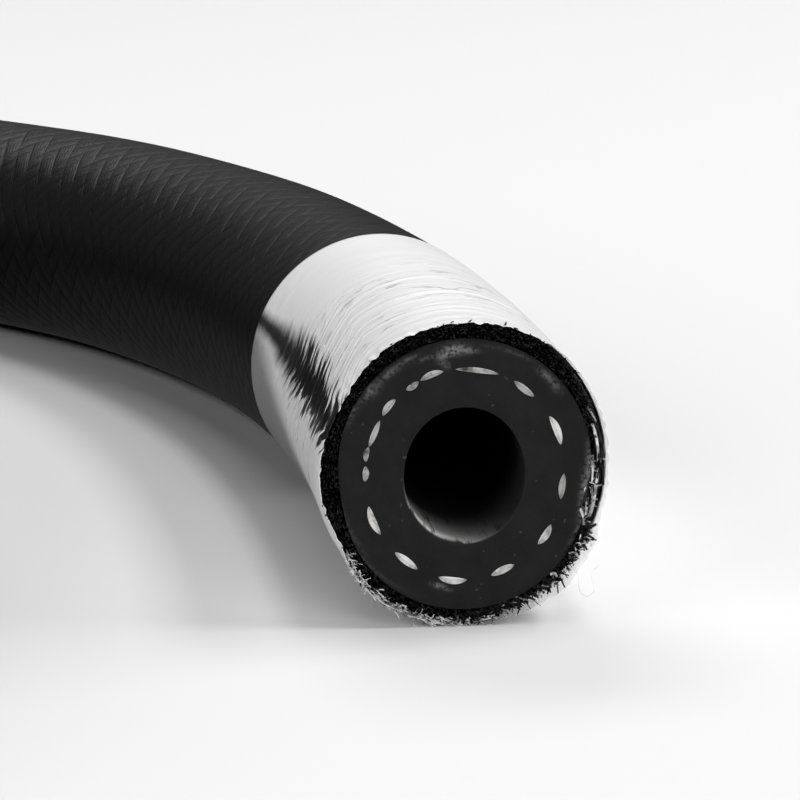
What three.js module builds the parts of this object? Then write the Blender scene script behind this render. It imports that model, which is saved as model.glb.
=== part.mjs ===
// A metre of textile-braided rubber fuel hose, lying on a level surface.
//
// The hose is built up the way it is made: an inner rubber tube, a sleeve of
// reinforcing yarn, a rubber cover and a black textile braid over it. Clear
// tape binds the braid where the hose was cut, so that it doesn't fray.
//
// Millimetres, +Z up. The origin is below the middle of the hose as it lies,
// on the surface that it rests on. The hose's front end faces -Y.
import * as THREE from "three";

// Diameters of the layers, from the bore outwards
const boreDiameter = 7.5;
const innerTubeWall = 2.0;
const yarnThickness = 0.4;
const coverWall = 1.35;
const braidThickness = 0.85;
const tapeThickness = 0.15;
const layerClearance = 0.1;

// Lengths along the hose
const hoseLength = 1000;
const tapeLength = 36;

// The turns that the hose is laid in
const coilCentre = [-139, 20.1];
const coilRadius = 110.5;
const laneGap = 0.8;
const coilPointsPerTurn = 36;

// How finely the round sections and the route are cut into flat faces
const sectionSides = 12;
const sectionStep = 17;

// The front stretch seen from above, measured from the middle of the cut
// face: straight out of the cut, then a bend to the left into the coil
const frontStretch = [
  [0, 0],
  [0, 8],
  [-0.3, 16],
  [-1.7, 32],
  [-4.4, 47.8],
  [-8.8, 63.2],
  [-15.1, 77.9],
  [-23.6, 91.4],
  [-34.3, 103.4],
  [-47, 113.1],
  [-61.2, 120.5],
  [-76.4, 125.5],
  [-92.1, 128.7],
  [-108, 130.2],
  [-124, 130.6],
];

const innerTubeRadius = boreDiameter / 2 + innerTubeWall;
const yarnInnerRadius = innerTubeRadius + layerClearance;
const yarnRadius = yarnInnerRadius + yarnThickness;
const coverInnerRadius = yarnRadius + layerClearance;
const coverRadius = coverInnerRadius + coverWall;
const braidInnerRadius = coverRadius + layerClearance;
const braidRadius = braidInnerRadius + braidThickness;
const tapeInnerRadius = braidRadius + layerClearance;
const tapeRadius = tapeInnerRadius + tapeThickness;

// Centre line of the hose: the front stretch, then a flat spiral whose turns
// lie one hose diameter apart. It runs on a little past the hose's far end.
function hoseRoute() {
  const points = frontStretch.map(([x, y]) => new THREE.Vector3(x, y, tapeRadius));
  const leadIn = new THREE.CatmullRomCurve3(points).getLength() + points.at(-1).x - coilCentre[0];
  const lanePitch = 2 * tapeRadius + laneGap;
  const shrink = lanePitch / (2 * Math.PI);
  const turned = (coilRadius - Math.sqrt(coilRadius ** 2 - 2 * shrink * (hoseLength - leadIn))) / shrink;
  const angleStep = (2 * Math.PI) / coilPointsPerTurn;
  for (let angle = 0; angle < turned + 2 * angleStep; angle += angleStep) {
    const radius = coilRadius - shrink * angle;
    points.push(new THREE.Vector3(
      coilCentre[0] - radius * Math.sin(angle),
      coilCentre[1] + radius * Math.cos(angle),
      tapeRadius,
    ));
  }
  return new THREE.CatmullRomCurve3(points);
}

// Distances from the front end at which every layer has a section, so that
// the layers nest: a few under the tape at each end, and even steps between
function sectionPlaces() {
  const untaped = hoseLength - 2 * tapeLength;
  const tapeSteps = Math.max(2, Math.round(tapeLength / sectionStep));
  const steps = Math.max(2, Math.round(untaped / sectionStep));
  const front = Array.from({ length: tapeSteps }, (_, i) => (tapeLength * i) / tapeSteps);
  const between = Array.from({ length: steps }, (_, i) => tapeLength + (untaped * i) / steps);
  const rear = Array.from({ length: tapeSteps + 1 }, (_, i) => (
    hoseLength - tapeLength + (tapeLength * i) / tapeSteps
  ));
  return { front: [...front, tapeLength], all: [...front, ...between, ...rear], rear };
}

// A stretch of the route whose sections stand at the given places
class HoseStretch extends THREE.Curve {
  constructor(route, places) {
    super();
    this.route = route;
    this.routeLength = route.getLength();
    this.places = places;
  }

  placeAt(share) {
    const index = Math.min(Math.floor(share * (this.places.length - 1)), this.places.length - 2);
    const rest = share * (this.places.length - 1) - index;
    return THREE.MathUtils.lerp(this.places[index], this.places[index + 1], rest) / this.routeLength;
  }

  getPointAt(share) {
    return this.route.getPointAt(this.placeAt(share));
  }

  getTangentAt(share) {
    return this.route.getTangentAt(this.placeAt(share));
  }
}

// A regular polygon drawn round a circle, with a flat side facing down
function sectionOutline(radius) {
  const corner = radius / Math.cos(Math.PI / sectionSides);
  return Array.from({ length: sectionSides }, (_, i) => {
    const angle = ((i + 0.5) * 2 * Math.PI) / sectionSides;
    return new THREE.Vector2(corner * Math.cos(angle), corner * Math.sin(angle));
  });
}

// A hollow layer swept along a stretch of the route
function sweptLayer(name, innerRadius, outerRadius, places, material) {
  const section = new THREE.Shape(sectionOutline(outerRadius));
  section.holes.push(new THREE.Path(sectionOutline(innerRadius)));
  const geometry = new THREE.ExtrudeGeometry(section, {
    extrudePath: new HoseStretch(route, places),
    steps: places.length - 1,
    bevelEnabled: false,
  });
  const mesh = new THREE.Mesh(geometry, material);
  mesh.name = name;
  return mesh;
}

const rubber = new THREE.MeshStandardMaterial({ color: 0x232224, roughness: 0.75, metalness: 0 });
const yarn = new THREE.MeshStandardMaterial({ color: 0xd9d6cf, roughness: 0.8, metalness: 0 });
const textile = new THREE.MeshStandardMaterial({ color: 0x141315, roughness: 0.85, metalness: 0 });
const tape = new THREE.MeshStandardMaterial({ color: 0xe4e4e2, roughness: 0.15, metalness: 0 });

const route = hoseRoute();
const { front, all, rear } = sectionPlaces();
const hose = new THREE.Group();
hose.add(sweptLayer("inner_tube", boreDiameter / 2, innerTubeRadius, all, rubber));
hose.add(sweptLayer("reinforcement_yarn", yarnInnerRadius, yarnRadius, all, yarn));
hose.add(sweptLayer("rubber_cover", coverInnerRadius, coverRadius, all, rubber));
hose.add(sweptLayer("outer_braid", braidInnerRadius, braidRadius, all, textile));
hose.add(sweptLayer("end_tape_front", tapeInnerRadius, tapeRadius, front, tape));
hose.add(sweptLayer("end_tape_rear", tapeInnerRadius, tapeRadius, rear, tape));

// Lay the hose so that the origin is below its middle
const box = new THREE.Box3().setFromObject(hose);
const middle = box.getCenter(new THREE.Vector3());
hose.position.set(-middle.x, -middle.y, -box.min.z);

export default hose;
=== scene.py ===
# A metre of textile-braided rubber fuel hose, photographed at its cut end.
import math

import bmesh
import bpy
import numpy as np
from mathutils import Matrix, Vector


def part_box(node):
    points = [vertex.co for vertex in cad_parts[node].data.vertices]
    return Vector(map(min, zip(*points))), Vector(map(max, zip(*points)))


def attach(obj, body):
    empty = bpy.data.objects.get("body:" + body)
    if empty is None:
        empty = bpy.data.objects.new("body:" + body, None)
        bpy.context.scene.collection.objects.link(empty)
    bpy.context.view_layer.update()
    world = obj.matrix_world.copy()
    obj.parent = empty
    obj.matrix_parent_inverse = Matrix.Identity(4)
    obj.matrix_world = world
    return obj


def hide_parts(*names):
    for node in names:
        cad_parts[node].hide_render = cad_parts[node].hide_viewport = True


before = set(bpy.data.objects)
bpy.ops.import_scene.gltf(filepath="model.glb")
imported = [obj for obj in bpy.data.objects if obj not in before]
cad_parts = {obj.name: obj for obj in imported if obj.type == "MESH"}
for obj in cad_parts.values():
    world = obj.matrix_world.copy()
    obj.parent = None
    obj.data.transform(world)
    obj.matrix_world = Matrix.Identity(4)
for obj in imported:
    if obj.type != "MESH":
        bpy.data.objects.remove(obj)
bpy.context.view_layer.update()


# The run of the hose. It leaves the cut straight, bends to the left and goes
# into a flat coil out of the picture, each turn a hose's width inside the last.
MM = 0.001
TAPE_RADIUS = 8.9 * MM
HOSE_LENGTH = 1.0
# Left and back from the cut, in millimetres
FRONT_STRETCH = [
    (0, 0), (0, 8), (-0.3, 16), (-1.7, 32), (-4.4, 47.8), (-8.8, 63.2), (-15.1, 77.9), (-23.6, 91.4),
    (-34.3, 103.4), (-47, 113.1), (-61.2, 120.5), (-76.4, 125.5), (-92.1, 128.7), (-108, 130.2),
    (-124, 130.6),
]
COIL_CENTRE = (-139, 20.1)
COIL_RADIUS = 110.5
LANE_PITCH = 18.6
COIL_POINTS_PER_TURN = 36
COIL_TURNS = 1.35

tape_low, tape_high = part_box("end_tape_front")
front_end = Vector((tape_high[0] - TAPE_RADIUS, tape_low[1], TAPE_RADIUS))


def hose_route():
    """Closely spaced points of the hose's centre line, and how far along it each one is."""
    points = [(x, y) for x, y in FRONT_STRETCH]
    shrink = LANE_PITCH / math.tau
    for i in range(math.ceil(COIL_TURNS * COIL_POINTS_PER_TURN)):
        angle = math.tau * i / COIL_POINTS_PER_TURN
        radius = COIL_RADIUS - shrink * angle
        points.append((COIL_CENTRE[0] - radius * math.sin(angle), COIL_CENTRE[1] + radius * math.cos(angle)))
    p = np.array(points) * MM
    p = np.vstack([2 * p[0] - p[1], p, 2 * p[-1] - p[-2]])
    line = []
    for a, b, c, d in zip(p[:-3], p[1:-2], p[2:-1], p[3:]):
        ab, bc, cd = (math.sqrt(np.linalg.norm(v)) for v in (b - a, c - b, d - c))
        out_of = ((b - a) / ab - (c - a) / (ab + bc) + (c - b) / bc) * bc
        into = ((c - b) / bc - (d - b) / (bc + cd) + (d - c) / cd) * bc
        t = np.linspace(0, 1, 24, endpoint=False)[:, None]
        line.append((2 * t**3 - 3 * t**2 + 1) * b + (t**3 - 2 * t**2 + t) * out_of
                    + (3 * t**2 - 2 * t**3) * c + (t**3 - t**2) * into)
    line = np.vstack(line)
    along = np.concatenate([[0], np.cumsum(np.linalg.norm(np.diff(line, axis=0), axis=1))])
    return line + np.array([front_end.x, front_end.y]), along


route_line, route_along = hose_route()


def on_route(along):
    """Centre, heading and level sideways direction of the hose at distances from its front end."""
    along = np.asarray(along, float)
    step = 0.2 * MM
    centre = np.stack([np.interp(along, route_along, route_line[:, i]) for i in (0, 1)], axis=-1)
    before = np.stack([np.interp(along - step, route_along, route_line[:, i]) for i in (0, 1)], axis=-1)
    after = np.stack([np.interp(along + step, route_along, route_line[:, i]) for i in (0, 1)], axis=-1)
    heading = after - before
    heading /= np.linalg.norm(heading, axis=-1, keepdims=True)
    level = np.zeros(centre.shape[:-1] + (1,))
    centre = np.concatenate([centre, level + front_end.z], axis=-1)
    heading = np.concatenate([heading, level], axis=-1)
    side = np.concatenate([heading[..., 1:2], -heading[..., 0:1], level], axis=-1)
    return centre, heading, side


END_OVAL = 0.02
OVAL_REACH = 25 * MM


def near_an_end(along):
    """1 at either cut end, falling away along the hose."""
    return np.maximum(np.exp(-along / OVAL_REACH), np.exp(-(HOSE_LENGTH - along) / OVAL_REACH))


def hose_points(along, turn, radius, out=0.0):
    """Points at a distance along the hose, an angle round it (0 is its right, a quarter up) and a radius."""
    centre, heading, side = on_route(along)
    up = np.array([0, 0, 1.0])
    centre = centre + (END_OVAL * TAPE_RADIUS * near_an_end(np.asarray(along, float)))[..., None] * up
    turn = np.asarray(turn)[..., None]
    radius = np.asarray(radius)[..., None]
    out = np.asarray(out)[..., None] if np.ndim(out) else out
    return centre + radius * (np.cos(turn) * side + np.sin(turn) * up) - out * heading


def sheet_mesh(name, points, uv, closed=True, masks=None, smooth=True):
    """A mesh over a grid of points: rows along the hose, columns round it, joined up if closed."""
    rows, columns = points.shape[:2]
    mesh = bpy.data.meshes.new(name)
    r, c = np.meshgrid(np.arange(rows - 1), np.arange(columns if closed else columns - 1), indexing="ij")
    nxt = (c + 1) % columns
    faces = np.stack([r * columns + c, (r + 1) * columns + c, (r + 1) * columns + nxt, r * columns + nxt], -1)
    faces = faces.reshape(-1, 4)
    mesh.from_pydata(points.reshape(-1, 3).tolist(), [], faces.tolist())
    layer = mesh.uv_layers.new(name="along_round")
    corner_column = np.stack([c, c, c + 1, c + 1], -1).reshape(-1, 4)
    corner_row = np.stack([r, r + 1, r + 1, r], -1).reshape(-1, 4)
    u_along, v_round = uv
    corners = np.stack([np.asarray(u_along)[corner_row], np.asarray(v_round)[corner_column]], -1)
    layer.data.foreach_set("uv", corners.reshape(-1).astype(np.float32))
    for mask, values in (masks or {}).items():
        attribute = mesh.attributes.new(mask, "FLOAT", "POINT")
        attribute.data.foreach_set("value", np.asarray(values, np.float32).reshape(-1))
    mesh.polygons.foreach_set("use_smooth", [smooth] * len(mesh.polygons))
    mesh.validate()
    piece = bpy.data.objects.new(name, mesh)
    bpy.context.scene.collection.objects.link(piece)
    return piece


# The camera stands where the photographer did: low, in front of the cut end
# and a little to its left, with a long close-up lens.
CAMERA_FROM_CUT = Vector((-22.0, -179.9, 44.2)) * MM
CAMERA_HEADING = math.radians(5.78)
CAMERA_PITCH = math.radians(12.31)
FOCAL_PIXELS = 3200
SENSOR_MM = 36
PICTURE_PIXELS = 800

camera_data = bpy.data.cameras.new("camera")
camera_data.sensor_width = SENSOR_MM
camera_data.lens = FOCAL_PIXELS * SENSOR_MM / PICTURE_PIXELS
camera_data.clip_start = 0.01
camera = bpy.data.objects.new("camera", camera_data)
bpy.context.scene.collection.objects.link(camera)
camera.location = front_end + CAMERA_FROM_CUT
camera.rotation_euler = (math.pi / 2 - CAMERA_PITCH, 0, -CAMERA_HEADING)
bpy.context.scene.camera = camera


# The inner tube: smooth extruded rubber with the bore. The knife left its cut
# edge slightly rolled at the bottom, where light falling into the mouth is painted pale on the wall.
BORE_RADIUS = 3.78 * MM
SEAM_RADIUS = 6.09 * MM
BORE_OVAL = 0.065
SEAM_OVAL = 0.04
ROUND_STEPS = 160
RUBBER_GREY = 0.0135
# How much of the rolled edge goes into the bore's width, and how much back from the cut
LIP_WIDENS = 0.6
LIP_SINKS = 0.4

# Places along the hose for the long hidden layers, closer together at its ends
near_end = np.concatenate([np.linspace(0, 4, 9), np.linspace(6, 40, 18)]) * MM
long_places = np.concatenate([near_end, np.linspace(0.045, 0.955, 84), HOSE_LENGTH - near_end[::-1]])
round_turns = np.linspace(0, math.tau, ROUND_STEPS, endpoint=False)


def oval(turn, share, along=0.0):
    """The squeeze of the cutter: the hose is a little taller than it is wide at its cut ends."""
    return 1 - share * np.cos(2 * turn) * near_an_end(along)


def layer_mesh(name, inner, outer, oval_inner, oval_outer, masks_at=None, lip=None, face_steps=18, worn=None):
    """A closed layer of the hose: bore side, front cut, outside, rear cut."""
    rows, places = [], []
    s = long_places
    reach = np.maximum(lip(round_turns) if lip else np.zeros(ROUND_STEPS), 1e-6)
    face = np.linspace(0, 1, face_steps)
    profile = [(p, 0.0) for p in s[::-1]] + [(0.0, f) for f in face[1:-1]] + [(p, 1.0) for p in s]
    profile += [(HOSE_LENGTH, f) for f in face[::-1][1:-1]]
    for along, f in profile:
        r_in = inner * oval(round_turns, oval_inner, along)
        r_out = outer * oval(round_turns, oval_outer, along)
        if worn:
            r_out = r_out + worn(round_turns, along)
        radius = r_in + (r_out - r_in) * f
        rolled = np.zeros(ROUND_STEPS)
        if f < 0.5:
            depth = min(along, HOSE_LENGTH - along)
            near_edge = np.clip(1 - (radius - r_in + depth) / reach, 0, 1)
            rolled = reach * (1 - np.sqrt(1 - near_edge**2))
        rows.append((np.full(ROUND_STEPS, along), radius + LIP_WIDENS * rolled, rolled))
        places.append(along)
    points = np.stack([
        hose_points(a + np.where(a < HOSE_LENGTH / 2, 1, -1) * LIP_SINKS * rolled, round_turns, r)
        for a, r, rolled in rows
    ])
    points = np.concatenate([points, points[:1]])
    along_uv = np.array(places + places[:1]) / (10 * MM)
    round_uv = np.linspace(0, 1, ROUND_STEPS + 1)
    masks = {}
    for mask, rule in (masks_at or {}).items():
        values = [rule(a, round_turns, r) for a, r, _ in rows]
        masks[mask] = np.stack(values + values[:1])
    piece = sheet_mesh(name, points, (along_uv, round_uv), masks=masks)
    mesh = bmesh.new()
    mesh.from_mesh(piece.data)
    bmesh.ops.remove_doubles(mesh, verts=mesh.verts, dist=1e-7)
    bmesh.ops.recalc_face_normals(mesh, faces=mesh.faces)
    mesh.to_mesh(piece.data)
    mesh.free()
    piece.data.set_sharp_from_angle(angle=math.radians(50))
    return piece


# Pale marks that the knife left on the cut face: angle in degrees, distance
# from the middle in millimetres, spread in both directions and strength
SCUFFS = [
    (95, 7.5, 5, 0.28, 0.8), (99, 7.25, 2.5, 0.16, 0.5), (88, 7.4, 3.5, 0.14, 0.5),
    (108, 7.35, 4, 0.12, 0.25),
    (125, 7.55, 5, 0.2, 0.4), (137, 7.5, 4, 0.3, 0.45), (150, 7.6, 6, 0.2, 0.2), (116, 7.7, 4, 0.12, 0.3),
    (102, 7.05, 1.3, 0.35, 0.4), (99.5, 6.65, 1.3, 0.25, 0.3),
    (50, 7.5, 4.5, 0.18, 0.4), (44, 7.4, 3, 0.25, 0.25), (257, 6.8, 3, 0.14, 0.65), (262, 6.95, 2, 0.1, 0.3),
    (70, 7.75, 12, 0.1, 0.15), (205, 7.4, 12, 0.12, 0.15), (225, 7.7, 14, 0.1, 0.15),
    (2, 7.35, 7, 0.16, 0.55),
    (353, 7.15, 8, 0.25, 0.6), (345, 7.3, 6, 0.2, 0.5), (8, 7.45, 6, 0.1, 0.35), (335, 7.5, 8, 0.12, 0.3),
]


def scuff_rule(along, turn, radius):
    total = np.zeros_like(turn)
    for degrees, distance, wide, deep, strength in SCUFFS:
        away = (np.degrees(turn) - degrees + 180) % 360 - 180
        total += strength * np.exp(-(away / wide) ** 2 - ((radius / MM - distance) / deep) ** 2)
    return total * (along < 0.3 * MM)


def lip_size(turn):
    """How far the knife rolled the bore's edge: most at the bottom left."""
    away = (np.degrees(turn) - 240 + 180) % 360 - 180
    return (0.03 + 0.09 * np.exp(-(away / 40) ** 2)) * MM


def lit_wall_mask(along, turn, radius):
    """Where light is painted pale on the bore's wall: a few millimetres into the mouth, at the lower left."""
    off = radius - BORE_RADIUS * oval(turn, BORE_OVAL)
    away = (np.degrees(turn) - 232 + 180) % 360 - 180
    spread = np.where(away < 0, 24.0, 38.0)
    fade = np.clip(1.15 - along / (4.2 * MM), 0, 1)
    return np.exp(-(away / spread) ** 2) * fade * (off < 0.05 * MM) * (along < 6 * MM)


def node(tree, kind, inputs=None, **settings):
    """A shader node with its settings made, and its inputs set to values or linked to sockets."""
    made = tree.nodes.new(kind)
    for key, value in settings.items():
        setattr(made, key, value)
    for key, value in (inputs or {}).items():
        if isinstance(value, bpy.types.NodeSocket):
            tree.links.new(value, made.inputs[key])
        else:
            made.inputs[key].default_value = value
    return made


def maths(tree, operation, a, b=0.0, c=0.0):
    return node(tree, "ShaderNodeMath", {0: a, 1: b, 2: c}, operation=operation).outputs[0]


def blend_colours(tree, share, low, high):
    mix = node(tree, "ShaderNodeMix", {0: share, 6: low, 7: high}, data_type="RGBA")
    return mix.outputs[2]


def ramp(tree, value, low, high):
    """0 below low, 1 above high, smooth between."""
    made = node(tree, "ShaderNodeMapRange", {0: value, 1: low, 2: high}, interpolation_type="SMOOTHSTEP")
    return made.outputs[0]


def new_material(name):
    material = bpy.data.materials.new(name)
    material.use_nodes = True
    tree = material.node_tree
    surface = tree.nodes["Principled BSDF"]
    return material, tree, surface


def grey(value, warm=0.0):
    return (value * (1 + warm), value, value * (1 - warm), 1)


def rubber_finish(name):
    """Black cut rubber: matt, very finely pitted, with pale scuffs, and painted light on the bore's wall,
    where the mesh's masks say so.
    """
    material, tree, surface = new_material(name)
    place = node(tree, "ShaderNodeNewGeometry").outputs["Position"]
    fine = node(tree, "ShaderNodeTexNoise", {"Vector": place, "Scale": 5200.0, "Detail": 3.0}).outputs[0]
    cloud = node(tree, "ShaderNodeTexNoise", {"Vector": place, "Scale": 620.0, "Detail": 4.0}).outputs[0]
    specks = node(tree, "ShaderNodeTexNoise", {"Vector": place, "Scale": 2600.0, "Detail": 1.0}).outputs[0]
    scuff = node(tree, "ShaderNodeAttribute", attribute_name="scuff").outputs["Fac"]
    lip = node(tree, "ShaderNodeAttribute", attribute_name="lip").outputs["Fac"]
    broken = maths(tree, "MULTIPLY", scuff, ramp(tree, fine, 0.3, 0.62))
    darker, lighter = grey(RUBBER_GREY * 0.85), grey(RUBBER_GREY * 1.15)
    base = blend_colours(tree, ramp(tree, cloud, 0.3, 0.7), darker, lighter)
    dust = maths(tree, "MULTIPLY", ramp(tree, specks, 0.74, 0.8), 0.35)
    base = blend_colours(tree, dust, base, grey(0.12))
    base = blend_colours(tree, broken, base, grey(0.30, 0.01))
    # Light falling into the bore is painted near white on its lower-left wall, in streaks along the hose
    drawn_out = (3800.0, 260.0, 3800.0)
    light_streak_at = node(tree, "ShaderNodeVectorMath", {0: place, 1: drawn_out}, operation="MULTIPLY").outputs[0]
    light_streaks = node(tree, "ShaderNodeTexNoise", {"Vector": light_streak_at, "Scale": 1.0, "Detail": 3.0}).outputs[0]
    painted_wall_light = maths(tree, "MULTIPLY", lip, ramp(tree, light_streaks, 0.3, 0.46))
    base = blend_colours(tree, painted_wall_light, base, grey(0.95, 0.01))
    surface.inputs["Specular IOR Level"].default_value = 0.3
    rough = maths(tree, "ADD", 0.62, maths(tree, "MULTIPLY", fine, 0.2))
    bump = node(tree, "ShaderNodeBump", {"Height": fine, "Distance": 0.00004, "Strength": 0.35})
    tree.links.new(base, surface.inputs["Base Color"])
    tree.links.new(rough, surface.inputs["Roughness"])
    tree.links.new(bump.outputs[0], surface.inputs["Normal"])
    return material


inner_tube = layer_mesh(
    "inner_tube_rubber", BORE_RADIUS, SEAM_RADIUS, BORE_OVAL, SEAM_OVAL,
    masks_at={"scuff": scuff_rule, "lip": lit_wall_mask}, lip=lip_size,
)
inner_tube.data.materials.append(rubber_finish("cut_rubber"))
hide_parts("inner_tube")
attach(inner_tube, "root")


# The rubber cover, extruded over the yarn. Only its cut ring shows, with the
# knife's scuffs near the outside.
COVER_RADIUS = 7.8 * MM
COVER_OVAL = 0.033


def cover_wear(turn, along):
    """The cover is pressed in at the left of the cut and scraped off at its right."""
    left = ((np.degrees(turn) - 190 + 180) % 360 - 180) / 24
    right = ((np.degrees(turn) - 350 + 180) % 360 - 180) / 20
    depth = np.minimum(along, HOSE_LENGTH - along)
    return (0.05 - 0.28 * np.exp(-left**2) - 0.24 * np.exp(-right**2)) * MM * np.exp(-depth / (3 * MM))


rubber_cover = layer_mesh(
    "rubber_cover_ring", SEAM_RADIUS - 0.004 * MM, COVER_RADIUS, SEAM_OVAL, COVER_OVAL,
    masks_at={"scuff": scuff_rule}, face_steps=30, worn=cover_wear,
)
rubber_cover.data.materials.append(inner_tube.data.materials[0])
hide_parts("rubber_cover")
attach(rubber_cover, "root")


# The reinforcing yarn, braided between the two rubber layers. Each bundle is
# cut slantwise and shows as a pale lens on the seam; behind, a plain sleeve stands for the layer.
# Each bundle: angle in degrees, half of its spread, thickness in millimetres, paleness
YARN_ENDS = [
    (83.5, 12.3, 0.34, 0.62), (108, 6.8, 0.4, 0.62), (119.8, 4.2, 0.4, 0.5), (137, 6, 0.42, 0.6),
    (154, 8.6, 0.36, 0.62), (166.4, 4.6, 0.36, 0.62), (178, 4.8, 0.4, 0.6), (206, 9.4, 0.46, 1.0),
    (236, 8.2, 0.46, 1.0), (263.6, 8, 0.46, 1.0), (291.5, 7.2, 0.46, 0.9), (322, 7, 0.46, 0.8),
    (352, 8, 0.42, 0.5), (25.5, 9.4, 0.46, 1.0), (55.8, 7.4, 0.42, 0.55),
]
YARN_DEPTH = 6 * MM
YARN_PROUD = 0.035 * MM


def yarn_bundle(middle, half_span, thickness, at_rear, slant):
    """One bundle's cut end and the few millimetres of it behind the cut, as a grid of points."""
    shares = np.linspace(0, math.tau, 28, endpoint=False)
    rows = []
    depths = np.concatenate([[0, 0, 0.04, 0.12], np.linspace(0.4, YARN_DEPTH / MM, 6)]) * MM
    sizes = [0.0, 0.86, 0.97, 1.0] + [1.0] * 5 + [0.5]
    for depth, size in zip(depths, sizes):
        x = np.cos(shares)
        y = np.sin(shares) * np.abs(np.sin(shares)) ** 0.5
        turn = np.radians(middle + half_span * x * size) + slant * depth
        radius = SEAM_RADIUS * oval(turn, SEAM_OVAL) + 0.5 * thickness * MM * y * size
        radius = radius + 0.06 * MM * (1 - x**2) * np.sign(slant)
        along = depth - YARN_PROUD * (1 - depth / YARN_DEPTH)
        on_hose = max(along, 0.0)
        place = HOSE_LENGTH - on_hose if at_rear else on_hose
        heading = on_route(np.array(place))[1]
        proud = -min(along, 0.0) if at_rear else min(along, 0.0)
        rows.append(hose_points(np.full_like(turn, place), turn, radius) + heading * proud)
    return np.stack(rows)


yarn_parts = []
for at_rear in (False, True):
    for i, (middle, half_span, thickness, pale) in enumerate(YARN_ENDS):
        grid = yarn_bundle(middle, half_span, thickness, at_rear, 40 if i % 2 else -40)
        grid_rows, grid_columns = grid.shape[:2]
        around = np.linspace(0, math.tau, grid_columns, endpoint=False)
        dim_tips = 1 - 0.6 * np.abs(np.cos(around)) ** 5
        paleness = np.vstack([np.ones(grid_columns), *[dim_tips] * (grid_rows - 1)]) * pale
        yarn_parts.append(sheet_mesh(
            f"yarn_{i}_{at_rear}", grid, (np.linspace(0, 1, grid_rows), np.linspace(0, 1, grid_columns + 1)),
            masks={"pale": paleness},
        ))


def join_pieces(parts, name):
    with bpy.context.temp_override(active_object=parts[0], selected_editable_objects=parts):
        bpy.ops.object.join()
    parts[0].name = name
    parts[0].data.name = name
    return parts[0]


sleeve_places = np.concatenate([[0.005], np.linspace(0.02, 0.98, 97), [0.995]])
SLEEVE_STEPS_ROUND = 24
sleeve_turns = np.linspace(0, math.tau, SLEEVE_STEPS_ROUND, endpoint=False)
sleeve_along, sleeve_turn = np.meshgrid(sleeve_places, sleeve_turns, indexing="ij")
sleeve_grid = hose_points(sleeve_along, sleeve_turn, np.full_like(sleeve_turn, SEAM_RADIUS + 0.05 * MM))
yarn_parts.append(sheet_mesh(
    "yarn_sleeve", sleeve_grid, (sleeve_places, np.linspace(0, 1, SLEEVE_STEPS_ROUND + 1)),
    masks={"pale": np.ones(sleeve_grid.shape[:2])},
))
yarn = join_pieces(yarn_parts, "reinforcement_yarn_ends")
yarn_material, tree, surface = new_material("polyester_yarn")
place = node(tree, "ShaderNodeNewGeometry").outputs["Position"]
fibres = node(tree, "ShaderNodeTexNoise", {"Vector": place, "Scale": 7000.0, "Detail": 3.0}).outputs[0]
patches = node(tree, "ShaderNodeTexNoise", {"Vector": place, "Scale": 1500.0, "Detail": 2.0}).outputs[0]
pale = node(tree, "ShaderNodeAttribute", attribute_name="pale").outputs["Fac"]
lightness = maths(tree, "MULTIPLY", pale, ramp(tree, patches, 0.22, 0.52))
tree.links.new(blend_colours(tree, lightness, grey(0.05), grey(0.82, 0.02)), surface.inputs["Base Color"])
surface.inputs["Roughness"].default_value = 0.85
surface.inputs["Specular IOR Level"].default_value = 0.25
bump = node(tree, "ShaderNodeBump", {"Height": fibres, "Distance": 0.00006, "Strength": 0.6})
tree.links.new(bump.outputs[0], surface.inputs["Normal"])
yarn.data.materials.append(yarn_material)
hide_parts("reinforcement_yarn")
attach(yarn, "root")


# The textile braid over the rubber: black strands in bundles that pass over
# two and under two, woven tight round the hose by a braiding machine.
BRAID_RADIUS = 8.72 * MM
BRAID_CLEARANCE = 0.02 * MM
BRAID_RECESS = 0.55 * MM
BRAID_CARRIERS = 24
BRAID_PITCH = 46 * MM
BRAID_STEPS_ROUND = 120
BRAID_GREY = 0.0035
# Where the cut left the braid's outer edge: angle in degrees and radius in millimetres
CUT_EDGE = [
    (0, 7.78), (12, 8.05), (22, 8.28), (34, 8.45), (48, 8.85), (75, 8.92), (92, 8.77), (120, 8.77),
    (132, 8.58), (146, 8.35), (156, 8.28), (168, 8.52), (186, 8.55), (196, 8.33), (210, 8.2),
    (222, 8.62), (236, 8.78), (256, 8.74), (270, 8.7), (284, 8.45), (300, 8.42), (310, 8.58),
    (320, 8.2), (331, 8.2), (339, 7.75), (350, 7.72), (360, 7.78),
]
RIPPLE_SEED = 3
ripple_random = np.random.default_rng(RIPPLE_SEED)
RIPPLES = [(int(ripple_random.integers(9, 90)), ripple_random.uniform(0, math.tau)) for _ in range(16)]


def ripple(turn):
    """An uneven wave round the hose, about 1 high, which no eye finds the rhythm of."""
    return sum(np.sin(count * turn + start) for count, start in RIPPLES) / math.sqrt(len(RIPPLES))


def cut_edge(turn, along):
    """The braid's outer radius: uneven where it is cut, even a few millimetres behind."""
    depth = np.minimum(along, HOSE_LENGTH - along)
    uneven = np.interp(np.degrees(turn) % 360, *zip(*CUT_EDGE)) * MM - BRAID_RADIUS
    tufts = 0.06 * MM * ripple(turn)
    return BRAID_RADIUS + (uneven + tufts) * np.exp(-(depth / (1.6 * MM)) ** 2)


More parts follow.
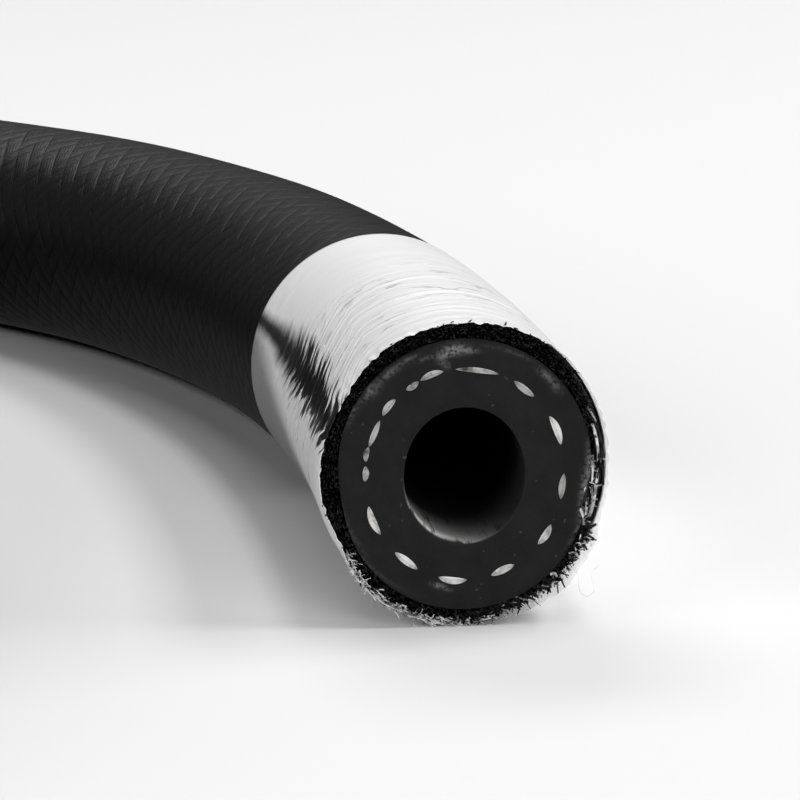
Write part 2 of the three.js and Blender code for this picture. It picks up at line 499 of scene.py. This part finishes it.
def braid_group():
    """Height and gap mask of a two-over, two-under braid, from the distance along and the share round."""
    group = bpy.data.node_groups.new("two_over_two_braid", "ShaderNodeTree")
    face = group.interface
    face.new_socket("Along", in_out="INPUT", socket_type="NodeSocketFloat")
    face.new_socket("Round", in_out="INPUT", socket_type="NodeSocketFloat")
    face.new_socket("Height", in_out="OUTPUT", socket_type="NodeSocketFloat")
    face.new_socket("Crown", in_out="OUTPUT", socket_type="NodeSocketFloat")
    face.new_socket("Strand", in_out="OUTPUT", socket_type="NodeSocketFloat")
    given = group.nodes.new("NodeGroupInput")
    result = group.nodes.new("NodeGroupOutput")
    along, turn = given.outputs["Along"], given.outputs["Round"]
    right = maths(group, "ADD", along, turn)
    left = maths(group, "SUBTRACT", along, turn)
    heights = []
    for own in (right, left):
        across = maths(group, "SUBTRACT", maths(group, "MULTIPLY", maths(group, "FRACT", own), 2.0), 1.0)
        heights.append(maths(group, "SQRT", maths(group, "MAXIMUM", maths(group, "SUBTRACT", 1.0, maths(
            group, "MULTIPLY", across, across)), 0.0)))
    # Counting up from 4000 keeps the remainder above zero all round
    order = maths(group, "MODULO", maths(group, "ADD", maths(group, "FLOOR", left), maths(
        group, "ADD", maths(group, "FLOOR", right), 4000.0)), 4.0)
    right_over = maths(group, "LESS_THAN", order, 1.5)
    lift = []
    for other in (left, right):
        over = maths(group, "SUBTRACT", maths(group, "MULTIPLY", maths(group, "FRACT", other), 2.0), 1.0)
        lift.append(maths(group, "SUBTRACT", 1.0, maths(
            group, "MULTIPLY", maths(group, "MULTIPLY", over, over), 0.35)))
    right_height = maths(group, "MULTIPLY", heights[0], lift[0])
    left_height = maths(group, "MULTIPLY", heights[1], lift[1])
    heights = {0: right_over, 2: left_height, 3: right_height}
    chosen = node(group, "ShaderNodeMix", heights, data_type="FLOAT")
    strand = node(group, "ShaderNodeMix", {0: right_over, 2: left, 3: right}, data_type="FLOAT")
    group.links.new(chosen.outputs[0], result.inputs["Height"])
    group.links.new(ramp(group, chosen.outputs[0], 0.25, 0.9), result.inputs["Crown"])
    group.links.new(strand.outputs[0], result.inputs["Strand"])
    return group


two_over_two = braid_group()


def braid_coordinates(tree):
    """Strand counts along and round the hose, from the mesh's map of centimetres along and share round."""
    map_uv = node(tree, "ShaderNodeUVMap", uv_map="along_round").outputs[0]
    parts = node(tree, "ShaderNodeSeparateXYZ", {0: map_uv}).outputs
    along = maths(tree, "MULTIPLY", parts[0], 10 * MM * BRAID_CARRIERS / BRAID_PITCH)
    turn = maths(tree, "MULTIPLY", parts[1], float(BRAID_CARRIERS))
    return along, turn


braid_rows = np.concatenate([
    np.linspace(BRAID_RECESS, 0.12, 300), np.linspace(0.1215, HOSE_LENGTH - 0.04, 420),
    np.linspace(HOSE_LENGTH - 0.039, HOSE_LENGTH - BRAID_RECESS, 60),
])
braid_turns = np.linspace(0, math.tau, BRAID_STEPS_ROUND, endpoint=False)
grid_along, grid_turn = np.meshgrid(braid_rows, braid_turns, indexing="ij")
braid_sway = 0.03 * MM * np.sin(grid_along / MM * 0.21 + 2 * np.sin(grid_turn))
braid_radii = cut_edge(grid_turn, grid_along) * oval(grid_turn, END_OVAL, grid_along) + braid_sway
braid_outside = hose_points(grid_along, grid_turn, braid_radii)
ends = []
inner_edge = COVER_RADIUS * oval(braid_turns, COVER_OVAL) + cover_wear(braid_turns, 0.0) + BRAID_CLEARANCE
for place, shares in ((BRAID_RECESS, (0, 0.3, 0.6, 0.85)), (HOSE_LENGTH - BRAID_RECESS, (0.85, 0.6, 0.3, 0))):
    outer_edge = cut_edge(braid_turns, place) * oval(braid_turns, END_OVAL)
    width = outer_edge - inner_edge
    at_end = np.full(BRAID_STEPS_ROUND, place)
    ends.append(np.stack([hose_points(at_end, braid_turns, inner_edge + width * share) for share in shares]))
braid_points = np.concatenate([ends[0], braid_outside, ends[1]])
braid_places = np.concatenate([[0] * 4, braid_rows, [HOSE_LENGTH] * 4]) / (10 * MM)
outer_braid = sheet_mesh(
    "outer_braid_sleeve", braid_points, (braid_places, np.linspace(0, 1, BRAID_STEPS_ROUND + 1)),
)

braid_material, tree, surface = new_material("black_textile_braid")
along, turn = braid_coordinates(tree)
weave = node(tree, "ShaderNodeGroup", {}, node_tree=two_over_two)
tree.links.new(along, weave.inputs["Along"])
tree.links.new(turn, weave.inputs["Round"])
place = node(tree, "ShaderNodeNewGeometry").outputs["Position"]
fluff = node(tree, "ShaderNodeTexNoise", {"Vector": place, "Scale": 4200.0, "Detail": 4.0}).outputs[0]
cloud = node(tree, "ShaderNodeTexNoise", {"Vector": place, "Scale": 90.0, "Detail": 3.0}).outputs[0]
filaments = node(tree, "ShaderNodeTexWave", {
    "Vector": node(tree, "ShaderNodeCombineXYZ", {0: weave.outputs["Strand"]}).outputs[0],
    "Scale": 1.6, "Distortion": 0.0,
}).outputs["Fac"]
# The valleys between the strands' crowns are painted darker, as shade.
colour = blend_colours(tree, weave.outputs["Crown"], grey(BRAID_GREY * 0.35), grey(BRAID_GREY * 1.1))
colour = blend_colours(tree, maths(tree, "MULTIPLY", cloud, 0.5), colour, grey(BRAID_GREY * 1.3))
height = maths(tree, "ADD", maths(tree, "MULTIPLY", weave.outputs["Height"], 1.0), maths(
    tree, "ADD", maths(tree, "MULTIPLY", filaments, 0.12), maths(tree, "MULTIPLY", fluff, 0.25)))
bump = node(tree, "ShaderNodeBump", {"Height": height, "Distance": 0.00016, "Strength": 0.38})
tree.links.new(colour, surface.inputs["Base Color"])
tree.links.new(bump.outputs[0], surface.inputs["Normal"])
surface.inputs["Roughness"].default_value = 0.42
surface.inputs["IOR"].default_value = 1.3
surface.inputs["Specular IOR Level"].default_value = 0.5
outer_braid.data.materials.append(braid_material)
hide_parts("outer_braid")
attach(outer_braid, "root")


# The braid's cut strands: short black bristles all round the cut, with longer
# ones that sprang out at the right and lower right.
BRISTLE_SEED = 20
BRISTLES_AT = {0.0: 2400, HOSE_LENGTH: 900}
BRISTLE_RADIUS = 0.05 * MM
# The strands that sprang out, as points across the cut: right and up from its
# middle, in millimetres, with how thick each is
LONG_STRANDS = [
    ([(6.7, 3.7), (7.35, 3.25), (7.95, 2.4), (8.1, 0.9), (8.12, -0.7)], 0.13),
    ([(7.5, 2.6), (7.8, 1.6), (7.95, 0.4), (7.75, -0.3)], 0.1),
    ([(8.0, 0.35), (7.55, -0.35), (7.15, -1.15), (6.95, -1.95)], 0.15),
    ([(7.35, -0.7), (7.7, 0.1), (7.9, 0.9)], 0.12),
    ([(6.9, -0.6), (7.3, -1.3), (7.2, -2.0)], 0.13),
    ([(6.5, -3.6), (6.95, -3.4), (7.35, -3.35), (7.72, -3.05)], 0.13),
    ([(6.6, -3.3), (6.95, -3.1), (7.15, -2.8)], 0.11),
    ([(6.7, -3.7), (7.15, -3.7), (7.62, -3.95)], 0.12),
    ([(6.75, -3.5), (7.2, -3.5), (7.5, -3.6)], 0.1),
    ([(6.6, -4.0), (7.0, -4.2), (7.2, -4.6)], 0.12),
    ([(6.3, -4.3), (6.7, -4.6), (6.75, -4.9)], 0.11),
    ([(5.0, -6.0), (5.25, -5.75), (5.6, -5.85), (5.65, -6.2), (5.3, -6.45), (4.95, -6.35)], 0.1),
    ([(4.9, -6.5), (5.35, -6.6), (5.75, -6.35)], 0.1),
    ([(4.6, -6.3), (5.0, -6.6), (5.1, -6.85)], 0.12),
    ([(4.2, -6.7), (4.6, -6.95), (4.95, -6.85)], 0.12),
    ([(3.7, -7.1), (4.1, -7.2), (4.35, -7.45)], 0.11),
    ([(3.4, -7.1), (3.75, -7.45), (4.15, -7.55)], 0.12),
    ([(2.0, -7.6), (2.5, -7.75), (3.15, -7.85)], 0.11),
    ([(1.8, -7.7), (2.2, -7.95), (2.65, -8.1)], 0.1),
    ([(2.9, -7.4), (3.2, -7.6), (3.3, -7.9)], 0.1),
    ([(5.9, -5.2), (6.3, -5.35), (6.55, -5.2)], 0.11),
]
bristle_random = np.random.default_rng(BRISTLE_SEED)


def add_thread(store, points, radius, sides=5):
    """A thin tapering tube through a few points, added to lists of vertices and faces."""
    points = np.asarray(points)
    vertices, faces = store
    first = len(vertices)
    forward = np.gradient(points, axis=0)
    forward /= np.linalg.norm(forward, axis=1, keepdims=True)
    across = np.cross(forward, [0.31, 0.42, 0.85])
    across /= np.linalg.norm(across, axis=1, keepdims=True)
    other = np.cross(forward, across)
    count = len(points)
    for i in range(count):
        size = radius * (1 - 0.45 * i / (count - 1))
        for k in range(sides):
            a = math.tau * k / sides
            vertices.append(points[i] + size * (math.cos(a) * across[i] + math.sin(a) * other[i]))
    for i in range(count - 1):
        for k in range(sides):
            a, b = first + i * sides + k, first + i * sides + (k + 1) % sides
            faces.append((a, b, b + sides, a + sides))
    faces.append(tuple(first + k for k in range(sides))[::-1])
    faces.append(tuple(first + (count - 1) * sides + k for k in range(sides)))


def threads_piece(name, store):
    mesh = bpy.data.meshes.new(name)
    mesh.from_pydata([(x, y, max(z, 0.0)) for x, y, z in store[0]], [], store[1])
    mesh.polygons.foreach_set("use_smooth", [True] * len(mesh.polygons))
    piece = bpy.data.objects.new(name, mesh)
    bpy.context.scene.collection.objects.link(piece)
    return piece


bristles = ([], [])
for end, count in BRISTLES_AT.items():
    outward = 1.0 if end == 0.0 else -1.0
    centre, heading, side = on_route(np.array(end))
    out_way = -outward * heading
    up = np.array([0, 0, 1.0])
    centre = centre + END_OVAL * TAPE_RADIUS * up
    for _ in range(count):
        turn = bristle_random.uniform(0, math.tau)
        inner = COVER_RADIUS * oval(turn, COVER_OVAL) + cover_wear(turn, 0.0) + 0.04 * MM
        outer = float(cut_edge(np.array(turn), 0.0)) * oval(turn, END_OVAL)
        share = bristle_random.uniform(0, 1)
        thin_place = abs((math.degrees(turn) - 355 + 180) % 360 - 180) < 22
        if thin_place and bristle_random.uniform(0, 1) < 0.6:
            continue
        loose = max(math.cos(turn + 0.35), 0) + 0.4 * max(-math.sin(turn), 0)
        reach = bristle_random.uniform(0.1, 0.45 + 0.3 * loose) * MM
        swing = bristle_random.normal(0, 1.0)
        lean = bristle_random.normal(0.1 + 0.3 * share * loose, 0.3)
        radial = math.cos(turn) * side + math.sin(turn) * up
        round_way = -math.sin(turn) * side + math.cos(turn) * up
        start = inner + (outer - inner) * share
        root = centre + start * radial - out_way * (BRAID_RECESS + 0.1 * MM)
        points = []
        for part in (0, 0.5, 1.0):
            bend = part * part
            points.append(root + (BRAID_RECESS + 0.1 * MM + reach * 0.35) * part * out_way
                          + reach * bend * (0.8 * math.sin(swing) * round_way + lean * radial))
        add_thread(bristles, points, BRISTLE_RADIUS * bristle_random.uniform(0.6, 1.7), 4)
centre, heading, side = on_route(np.array(0.0))
centre = centre + END_OVAL * TAPE_RADIUS * up


def across_cut(places, depth_from, depth_to):
    """Points in front of or behind the cut from places right and up of its middle, in millimetres."""
    depths = np.linspace(depth_from, depth_to, len(places))
    return [centre + (x * side + z * up + depth * heading) * MM for (x, z), depth in zip(places, depths)]


def smooth_line(points, steps):
    """The given points with rounded corners."""
    points = np.array(points)
    at = np.linspace(0, len(points) - 1, steps)
    line = np.stack([np.interp(at, np.arange(len(points)), points[:, i]) for i in range(3)], axis=-1)
    for _ in range(2):
        line[1:-1] = 0.5 * line[1:-1] + 0.25 * (line[:-2] + line[2:])
    return line


for places, thickness in LONG_STRANDS:
    add_thread(bristles, smooth_line(across_cut(places, 0.3, -0.35), 12), thickness * MM, 6)
fray = threads_piece("braid_fray", bristles)
fray_material, tree, surface = new_material("cut_braid_fibres")
place = node(tree, "ShaderNodeNewGeometry").outputs["Position"]
tone = node(tree, "ShaderNodeTexNoise", {"Vector": place, "Scale": 2400.0, "Detail": 2.0}).outputs[0]
fibre_grey = blend_colours(tree, ramp(tree, tone, 0.4, 0.75), grey(0.003), grey(0.035))
tree.links.new(fibre_grey, surface.inputs["Base Color"])
surface.inputs["Roughness"].default_value = 0.6
surface.inputs["Specular IOR Level"].default_value = 0.2
fray.data.materials.append(fray_material)
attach(fray, "root")


# The clear tape: one band of glossy film wound round each end before cutting.
# It is pulled tight and a little askew, so it wrinkles round the hose, and it
# stands off the braid where the cut let it go.
TAPE_LENGTH = 34 * MM
TAPE_FILM = 0.05 * MM
TAPE_ROWS = 170
TAPE_ROWS_NEAR_CUT = 60
TAPE_STEPS_ROUND = 256
TAPE_SEED = 7
tape_random = np.random.default_rng(TAPE_SEED)
WRINKLE_COUNT = 90
# Each wrinkle: place along, middle and spread round, width, height and slant
wrinkles = [
    (tape_random.uniform(0, 0.034), tape_random.uniform(0, math.tau), tape_random.uniform(0.5, 1.6),
     tape_random.uniform(0.12, 0.45) * MM, tape_random.uniform(0.005, 0.025) * MM,
     tape_random.uniform(-0.0012, 0.0022))
    for _ in range(WRINKLE_COUNT)
]


def film_height(along, turn):
    """How far the film stands off its tight radius: fine ridges round the hose, and a flare at the cut."""
    height = np.zeros_like(along)
    for place, middle, spread, width, size, slant in wrinkles:
        away = (turn - middle + math.pi) % math.tau - math.pi
        ridge = place + slant * away
        height += size * np.exp(-((along - ridge) / width) ** 2 - (away / spread) ** 2)
    right = np.clip(np.cos(turn - math.radians(-18)), 0, 1) ** 1.2
    height += (0.02 + 0.55 * right) * MM * np.exp(-along / (1.6 * MM))
    return height


def film_tears(turn):
    """How far the film's cut edge sticks out past the cut (below 0) or falls short of it."""
    low_left = np.exp(-(((np.degrees(turn) - 238 + 180) % 360 - 180) / 26) ** 2)
    low_right = np.exp(-(((np.degrees(turn) - 310 + 180) % 360 - 180) / 40) ** 2)
    jag = 1.2 * ripple(turn + 1)
    return (0.05 * jag - low_left * (0.28 + 0.22 * jag) - 0.12 * low_right * (1 + 0.6 * jag)) * MM


def tape_band(name, at_rear):
    """The film as a closed band, its inner face coarser than its outer one; it never dips into the table."""
    near_the_cut = np.linspace(0, 6 * MM, TAPE_ROWS_NEAR_CUT)
    farther_on = np.linspace(6.2 * MM, TAPE_LENGTH, TAPE_ROWS - TAPE_ROWS_NEAR_CUT)
    outer_along = np.concatenate([near_the_cut, farther_on])
    inner_along = np.concatenate([np.linspace(0, 6 * MM, 24), np.linspace(7 * MM, TAPE_LENGTH, 24)])
    turns = np.linspace(0, math.tau, TAPE_STEPS_ROUND, endpoint=False)
    sheets, places = [], []
    for along, thick, lowest in ((inner_along[::-1], TAPE_FILM, 0.06 * MM), (outer_along, 0.0, 0.02 * MM)):
        grid_along, grid_turn = np.meshgrid(along, turns, indexing="ij")
        shift = film_tears(grid_turn) * np.exp(-grid_along / (1.5 * MM))
        pulled_in = (cut_edge(grid_turn, grid_along) - BRAID_RADIUS) * 0.8
        radius = (TAPE_RADIUS - 0.1 * MM + pulled_in) * oval(grid_turn, END_OVAL, grid_along)
        radius = radius + film_height(grid_along, grid_turn) - thick
        place = grid_along + np.maximum(shift, 0)
        past = -np.minimum(shift, 0)
        if at_rear:
            place, past = HOSE_LENGTH - place, -past
        points = hose_points(place, grid_turn, radius, past)
        points[..., 2] = np.maximum(points[..., 2], lowest)
        sheets.append(points)
        places.append(along)
    points = np.concatenate(sheets + [sheets[0][:1]])
    places = np.concatenate(places + [places[0][:1]]) / (10 * MM)
    piece = sheet_mesh(name, points, (places, np.linspace(0, 1, TAPE_STEPS_ROUND + 1)))
    mesh = bmesh.new()
    mesh.from_mesh(piece.data)
    bmesh.ops.remove_doubles(mesh, verts=mesh.verts, dist=1e-8)
    bmesh.ops.recalc_face_normals(mesh, faces=mesh.faces)
    mesh.to_mesh(piece.data)
    mesh.free()
    return piece


tape_material, tree, surface = new_material("clear_tape_film")
map_uv = node(tree, "ShaderNodeUVMap", uv_map="along_round").outputs[0]
parts = node(tree, "ShaderNodeSeparateXYZ", {0: map_uv}).outputs
along_cm, round_share = parts[0], parts[1]

# In a ragged band on the left the film is stuck down and shows the black braid, and it is
# painted darker still as a dark reflection of the hose; elsewhere it is milky white, partly
# air under the film and partly a painted reflection of the lights. Its ridges run round the
# hose and bend back on both sides of the band.
DARK_BAND_MIDDLE = 0.438
DARK_BAND_HALF_WIDTH = 0.027
RIDGES_PER_CM = 5.9

off_middle = maths(tree, "ABSOLUTE", maths(tree, "WRAP", maths(
    tree, "SUBTRACT", round_share, DARK_BAND_MIDDLE), 0.5, -0.5))
turn = maths(tree, "MULTIPLY", round_share, math.tau)
level_way, up_way = maths(tree, "COSINE", turn), maths(tree, "SINE", turn)
bent = maths(tree, "MULTIPLY", maths(tree, "MINIMUM", maths(tree, "MAXIMUM", maths(
    tree, "SUBTRACT", off_middle, 0.012), 0.0), 0.075), 7.0)
way = maths(tree, "SUBTRACT", along_cm, bent)


def tape_noise(per_cm, per_turn, detail, seed):
    """Noise drawn out along the ridges: so many marks to a centimetre along, and to a turn."""
    place = node(tree, "ShaderNodeCombineXYZ", {
        0: maths(tree, "MULTIPLY", way, per_cm),
        1: maths(tree, "MULTIPLY", level_way, per_turn / math.tau),
        2: maths(tree, "MULTIPLY", up_way, per_turn / math.tau),
    }).outputs[0]
    made = node(tree, "ShaderNodeTexNoise", noise_dimensions="4D")
    tree.links.new(place, made.inputs["Vector"])
    made.inputs["W"].default_value = seed
    made.inputs["Scale"].default_value = 1.0
    made.inputs["Detail"].default_value = detail
    made.inputs["Roughness"].default_value = 0.55
    return made.outputs[0]


near_cut = maths(tree, "SUBTRACT", 1.0, ramp(tree, along_cm, 1.3, 2.7))
coarse = tape_noise(5.0, 13.0, 3.0, 1.0)
fine = tape_noise(26.0, 18.0, 4.0, 4.0)
patches = tape_noise(3.0, 12.0, 2.0, 11.0)
phase = maths(tree, "ADD", maths(tree, "MULTIPLY", way, RIDGES_PER_CM), maths(tree, "MULTIPLY", coarse, 3.2))
ridge = maths(tree, "ADD", 0.5, maths(tree, "MULTIPLY", maths(
    tree, "SINE", maths(tree, "MULTIPLY", phase, math.tau)), 0.5))

far_back = ramp(tree, along_cm, 1.3, 2.5)
half_width = maths(tree, "MULTIPLY", DARK_BAND_HALF_WIDTH, maths(
    tree, "SUBTRACT", 1.0, maths(tree, "MULTIPLY", ramp(tree, along_cm, 1.8, 3.1), 0.6)))
away = maths(tree, "DIVIDE", off_middle, half_width)
teeth = maths(tree, "MULTIPLY", maths(tree, "SUBTRACT", ridge, 0.5), maths(
    tree, "ADD", 0.1, maths(tree, "MULTIPLY", near_cut, 0.8)))
hatch = maths(tree, "MULTIPLY", maths(tree, "SUBTRACT", fine, 0.5), maths(
    tree, "ADD", 0.2, maths(tree, "MULTIPLY", near_cut, 2.0)))
swell = maths(tree, "MULTIPLY", maths(tree, "SUBTRACT", patches, 0.5), 1.3)
edge = maths(tree, "ADD", maths(tree, "ADD", away, swell), maths(tree, "ADD", teeth, hatch))
# The dark band: the black braid through the clear film, with a painted dark reflection of the hose
dark_band = maths(tree, "SUBTRACT", 1.0, ramp(
    tree, edge, maths(tree, "SUBTRACT", 0.7, maths(tree, "MULTIPLY", far_back, 0.5)),
    maths(tree, "ADD", 1.25, maths(tree, "MULTIPLY", far_back, 0.6))))

line_window = maths(tree, "MULTIPLY", ramp(tree, along_cm, 0.2, 0.55), near_cut)
crease = maths(tree, "MULTIPLY", ramp(tree, maths(tree, "ADD", ridge, maths(
    tree, "MULTIPLY", maths(tree, "SUBTRACT", fine, 0.5), 0.5)), 0.93, 1.0), ramp(tree, patches, 0.42, 0.58))
crease = maths(tree, "MULTIPLY", crease, line_window)

# Milky white: partly air under the film, partly a painted reflection of the lights
milky_and_reflected_light = blend_colours(tree, ramp(tree, coarse, 0.3, 0.7), grey(0.93), grey(0.97))
# The creases are painted darker, as shade.
milky_and_reflected_light = blend_colours(tree, maths(tree, "MULTIPLY", crease, 0.65), milky_and_reflected_light, grey(0.25))
# A painted dark reflection of the hose body, on the film's left and lower left towards the rear
slantwise = maths(tree, "ADD", along_cm, maths(tree, "MULTIPLY", round_share, 17.0))
painted_hose_reflection = maths(tree, "MULTIPLY", ramp(tree, slantwise, 10.3, 11.5), maths(
    tree, "SUBTRACT", 1.0, ramp(tree, round_share, 0.58, 0.74)))
milky_and_reflected_light = blend_colours(tree, maths(tree, "MULTIPLY", painted_hose_reflection, 0.78), milky_and_reflected_light, grey(0.09))
dark = blend_colours(tree, maths(tree, "MULTIPLY", ramp(tree, fine, 0.42, 0.7), ramp(
    tree, ridge, 0.1, 0.9)), grey(0.003), grey(0.07))
dark = blend_colours(tree, maths(tree, "MULTIPLY", far_back, 0.5), dark, grey(0.05))
colour = blend_colours(tree, dark_band, milky_and_reflected_light, dark)
height = maths(tree, "ADD", maths(tree, "MULTIPLY", maths(tree, "MULTIPLY", ridge, near_cut), 0.45), maths(
    tree, "SUBTRACT", maths(tree, "MULTIPLY", fine, 0.35), maths(tree, "MULTIPLY", crease, 0.3)))
bump = node(tree, "ShaderNodeBump", {"Height": height, "Distance": 0.00012, "Strength": 0.6})
# Where the film stands off the cut at the right, nothing lies behind it and it is clear
STANDING_OFF_MIDDLE = 0.95
to_right = maths(tree, "COSINE", maths(tree, "MULTIPLY", maths(
    tree, "SUBTRACT", round_share, STANDING_OFF_MIDDLE), math.tau))
standing_off = maths(tree, "MULTIPLY", ramp(tree, to_right, 0.1, 0.5), maths(
    tree, "SUBTRACT", 1.0, ramp(tree, along_cm, 0.1, 0.3)))
clearness = maths(tree, "MULTIPLY", standing_off, maths(
    tree, "SUBTRACT", 0.98, maths(tree, "MULTIPLY", patches, 0.3)))
tree.links.new(maths(tree, "SUBTRACT", 1.0, clearness), surface.inputs["Alpha"])
tree.links.new(colour, surface.inputs["Base Color"])
tree.links.new(bump.outputs[0], surface.inputs["Normal"])
surface.inputs["Roughness"].default_value = 0.32
surface.inputs["IOR"].default_value = 1.45
surface.inputs["Coat Weight"].default_value = 0.25
surface.inputs["Coat Roughness"].default_value = 0.12

for node_name, piece_name, at_rear in (("end_tape_front", "clear_tape_front", False),
                                       ("end_tape_rear", "clear_tape_rear", True)):
    tape = tape_band(piece_name, at_rear)
    tape.data.materials.append(tape_material)
    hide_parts(node_name)
    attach(tape, "root")

# Shreds of the tape's film and glue where the knife tore it: pale flecks at the
# lower left and between the sprung strands, and one fine hair at the lower right.
SHRED_SEED = 5
FILM_SLIVERS = [
    ([(7.5, 2.9), (7.74, 2.0), (7.8, 1.2)], 0.13), ([(7.5, 1.0), (7.55, 0.2), (7.45, -0.5)], 0.1),
    ([(7.1, -0.9), (7.25, -1.7), (7.1, -2.5)], 0.12), ([(6.85, -2.2), (7.05, -2.7), (7.0, -3.1)], 0.13),
    ([(7.62, -1.2), (7.55, -1.9), (7.3, -2.6)], 0.17), ([(7.78, -0.4), (7.72, -1.0), (7.6, -1.6)], 0.12),
    ([(7.25, -4.3), (7.45, -4.0), (7.5, -4.4)], 0.07), ([(5.15, -6.15), (5.35, -6.0), (5.45, -6.2)], 0.12),
    ([(6.2, -4.9), (6.5, -4.75), (6.6, -5.0)], 0.06), ([(3.0, -7.45), (3.6, -7.6), (4.3, -7.7)], 0.06),
    ([(7.2, 3.9), (7.5, 3.4), (7.65, 3.1)], 0.08), ([(7.92, 0.8), (7.88, 0.1), (7.7, -0.6)], 0.12),
]
FILM_HAIR = [(6.5, -5.4), (6.75, -6.2), (6.8, -7.2), (7.2, -7.5), (7.7, -7.1), (7.35, -6.0), (7.8, -5.4)]
shred_random = np.random.default_rng(SHRED_SEED)
shreds = ([], [])
for places, thickness in FILM_SLIVERS:
    add_thread(shreds, smooth_line(across_cut(places, 0.1, -0.3), 8), thickness * MM, 5)
add_thread(shreds, smooth_line(across_cut(FILM_HAIR, 0.2, -0.9), 28), 0.014 * MM, 4)
SHREDS_BETWEEN = ((212, 268, 170), (268, 330, 50), (330, 372, 40))
for low, high, count in SHREDS_BETWEEN:
    for _ in range(count):
        turn = math.radians(shred_random.uniform(low, high))
        distance = float(cut_edge(np.array(turn), 0.0)) / MM + shred_random.normal(0.02, 0.14)
        swing = turn + math.pi / 2 + shred_random.normal(0, 0.7)
        length = shred_random.uniform(0.15, 0.6)
        start = np.array([math.cos(turn), math.sin(turn)]) * distance * oval(turn, END_OVAL)
        middle = start + 0.5 * length * np.array([math.cos(swing), math.sin(swing)])
        swing += shred_random.normal(0, 0.6)
        tip = middle + 0.5 * length * np.array([math.cos(swing), math.sin(swing)])
        behind = shred_random.uniform(-0.1, 0.1)
        in_front = shred_random.uniform(0.1, 0.45)
        points = across_cut([start, middle, tip], behind, -in_front)
        points = [np.array([x, y, max(z, 0.03 * MM)]) for x, y, z in points]
        add_thread(shreds, points, shred_random.uniform(0.02, 0.06) * MM, 4)
film_shreds = threads_piece("film_shreds", shreds)
shred_material, tree, surface = new_material("torn_film")
place = node(tree, "ShaderNodeNewGeometry").outputs["Position"]
tone = node(tree, "ShaderNodeTexNoise", {"Vector": place, "Scale": 1800.0, "Detail": 2.0}).outputs[0]
shred_grey = blend_colours(tree, ramp(tree, tone, 0.35, 0.6), grey(0.25), grey(0.85))
tree.links.new(shred_grey, surface.inputs["Base Color"])
surface.inputs["Roughness"].default_value = 0.45
film_shreds.data.materials.append(shred_material)
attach(film_shreds, "root")

[tuple(p) for p in on_route(np.linspace(0, HOSE_LENGTH, 160))[0]]


# The table: one plain pale sheet under the hose. Three soft lights in an arc over
# its right throw the shadow, one behind gives the hose its sheen, and two fill in.
bpy.ops.mesh.primitive_plane_add(size=6, location=(0, 0, 0))
floor = bpy.context.object
floor.name = "floor"
floor_material, tree, surface = new_material("pale_floor")
surface.inputs["Base Color"].default_value = (0.75, 0.75, 0.75, 1)
surface.inputs["Roughness"].default_value = 0.7
surface.inputs["Specular IOR Level"].default_value = 0.2
floor.data.materials.append(floor_material)
floor.visible_glossy = False


def soft_light(name, place, aim, width, height, power):
    data = bpy.data.lights.new(name, "AREA")
    data.shape = "RECTANGLE"
    data.size = width
    data.size_y = height
    data.energy = power
    lamp = bpy.data.objects.new(name, data)
    bpy.context.scene.collection.objects.link(lamp)
    lamp.location = front_end + Vector(place)
    lamp.rotation_euler = (Vector(aim) - Vector(place)).to_track_quat("-Z", "Y").to_euler()
    return lamp


soft_light("key_top", (0.25, 0.05, 1.42), (0, 0.02, 0), 0.9, 0.3, 5.6)
soft_light("key_middle", (0.85, 0.08, 1.2), (0, 0.02, 0), 0.9, 0.3, 9.6)
soft_light("key_low", (1.28, 0.1, 0.7), (0, 0.02, 0), 0.9, 0.3, 8.5)
soft_light("back_softbox", (-0.25, 1.0, 1.05), (0, 0.05, 0), 1.0, 0.3, 6.2)
soft_light("left_fill", (-1.1, -0.5, 0.6), (0, 0.05, 0), 1.2, 0.8, 9.0)
soft_light("front_fill", (0.45, -1.2, 0.9), (0, 0.0, 0), 1.0, 1.0, 6.8)

# The pale wall far behind the table, seen only in the film's gloss
world = bpy.data.worlds.new("studio")
world.use_nodes = True
tree = world.node_tree
way = node(tree, "ShaderNodeSeparateXYZ", {0: node(tree, "ShaderNodeTexCoord").outputs["Generated"]}).outputs
low = maths(tree, "SUBTRACT", 1.0, ramp(tree, way[2], 0.25, 0.6))
wall = maths(tree, "MULTIPLY", ramp(tree, way[1], 0.1, 0.7), low)
seen_in_gloss = node(tree, "ShaderNodeLightPath").outputs["Is Glossy Ray"]
wall = maths(tree, "MULTIPLY", wall, seen_in_gloss)
strength = maths(tree, "ADD", 0.15, maths(tree, "MULTIPLY", wall, 2.0))
tree.links.new(strength, tree.nodes["Background"].inputs[1])
bpy.context.scene.world = world
bpy.context.scene.view_settings.view_transform = "Standard"
